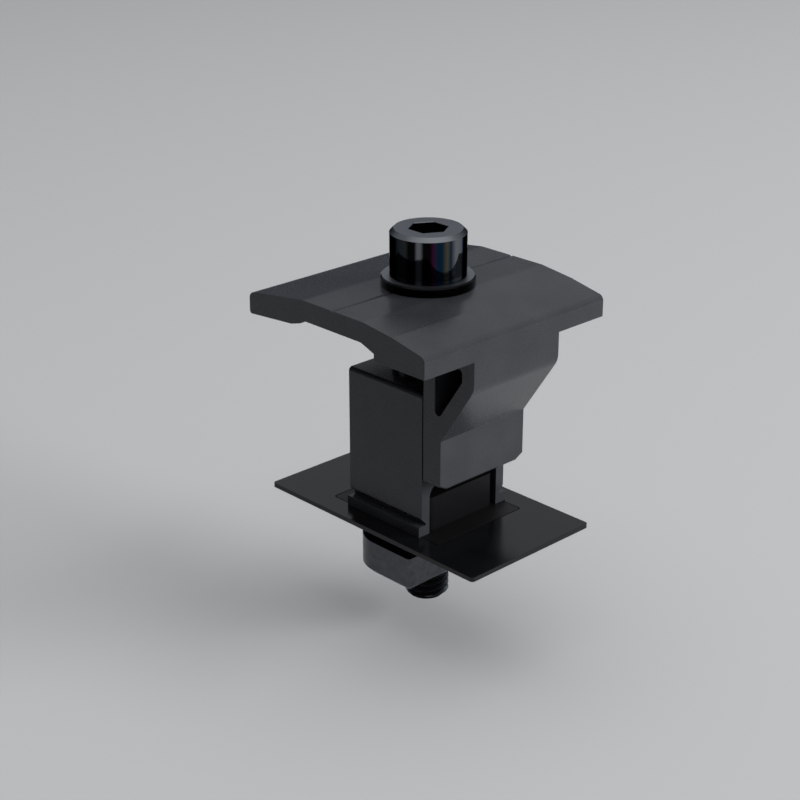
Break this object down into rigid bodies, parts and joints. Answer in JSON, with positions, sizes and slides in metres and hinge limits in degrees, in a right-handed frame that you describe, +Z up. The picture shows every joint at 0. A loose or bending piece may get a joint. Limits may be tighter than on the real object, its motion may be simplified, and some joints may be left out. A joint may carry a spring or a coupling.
{
  "type": "solar end clamp",
  "caption": "End clamp that holds the frame of a solar module down on a slotted rail, with a sliding cap, a hollow two-room bracket, a socket head screw and a quarter-turn slot nut.",
  "frame": {"origin": "on the screw's axis, at the underside of the base plate, where it lies on the rail's top", "axes": "+X along the rail, away from the module; Y along the module's edge; +Z up, away from the rail"},
  "size_m": [0.05, 0.042, 0.068],
  "materials": {
    "anodised_extrusion": "extruded aluminium, matt etched and black anodised",
    "coated_sheet": "rolled aluminium sheet, black anodised",
    "moulded_nylon": "injection moulded black nylon",
    "blackened_screw": "steel, polished and blackened",
    "spring_steel": "drawn spring wire, black phosphated",
    "plated_nut": "forged steel, zinc plated and passivated black"
  },
  "bodies": {
    "base": {"base_plate": "coated_sheet", "nut_holder": "moulded_nylon", "lower_bracket": "anodised_extrusion", "spring": "spring_steel"},
    "cap": {"clamp_cap": "anodised_extrusion", "washer": "blackened_screw"},
    "screw": {"clamp_screw": "blackened_screw"},
    "nut": {"slot_nut": "plated_nut"}
  },
  "joints": [
    {"name": "cap_slide", "type": "slide", "parent": "base", "child": "cap", "axis": [0, 0, 1], "range_m": [-0.005, 0.005], "deforming": ["spring"]},
    {"name": "screw_turn", "type": "hinge", "parent": "cap", "child": "screw", "pos_m": [0, 0, 0.0431], "axis": [0, 0, 1], "range_deg": [-1440, 1440]},
    {"name": "nut_turn", "type": "hinge", "parent": "base", "child": "nut", "pos_m": [0, 0, -0.0063], "axis": [0, 0, 1], "range_deg": [0, 90]}
  ],
  "couplings": [
    {"joint": "screw_turn", "follows": "cap_slide", "rad_per_m": 5026.5}
  ]
}
